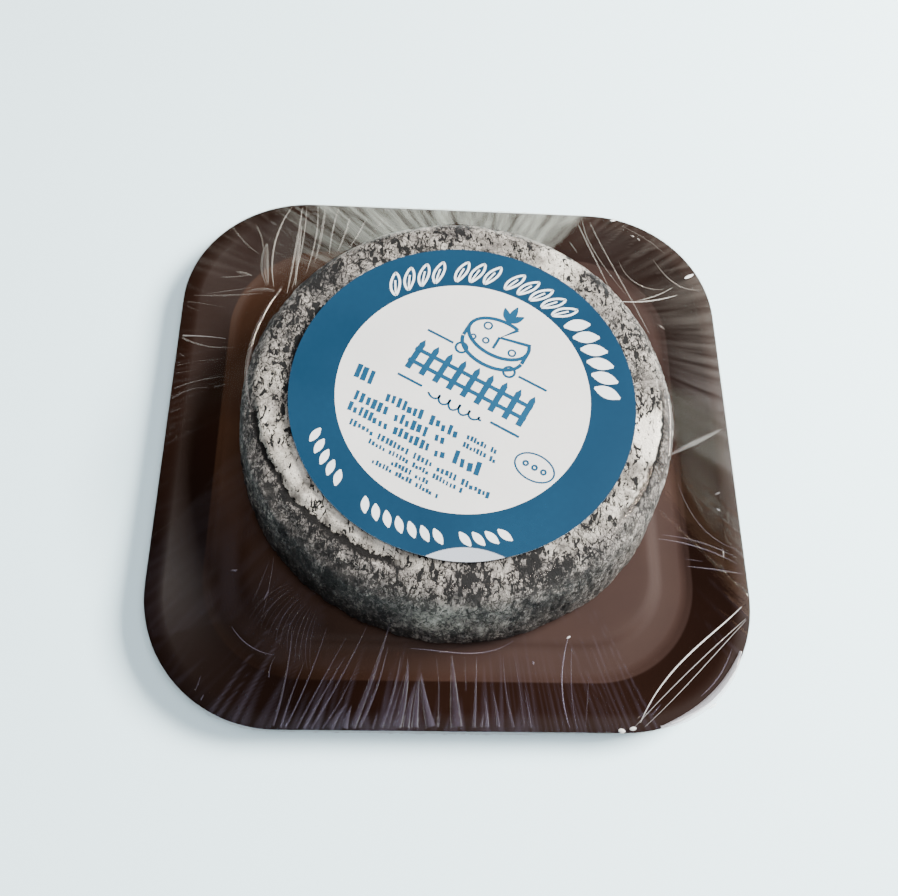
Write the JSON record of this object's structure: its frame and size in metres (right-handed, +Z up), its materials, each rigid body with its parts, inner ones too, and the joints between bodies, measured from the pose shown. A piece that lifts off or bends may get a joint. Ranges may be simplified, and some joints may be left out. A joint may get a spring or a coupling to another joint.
{
  "type": "film-wrapped cheese wheel",
  "caption": "Small round soft cheese with an ash-grey mottled rind on a shallow moulded tray, wrapped in clear stretch film with a round label.",
  "frame": {"origin": "on the surface the pack rests on, under the middle of the tray", "axes": "+Z up through the wheel, +X and +Y along the tray's straight sides, -Y the side the label is read from"},
  "size_m": [0.1212, 0.1212, 0.0245],
  "materials": {
    "tray_plastic": "chocolate-brown thermoformed sheet, softly glossy",
    "rind": "matt bloomy rind, cream and ash grey mottling with charcoal specks",
    "film": "clear, glossy, creased stretch film",
    "label_paper": "coated paper with a blue printed ring and a white middle"
  },
  "bodies": {
    "root": {"tray": "tray_plastic", "cheese_wheel": "rind", "stretch_film": "film", "label": "label_paper"}
  },
  "joints": []
}
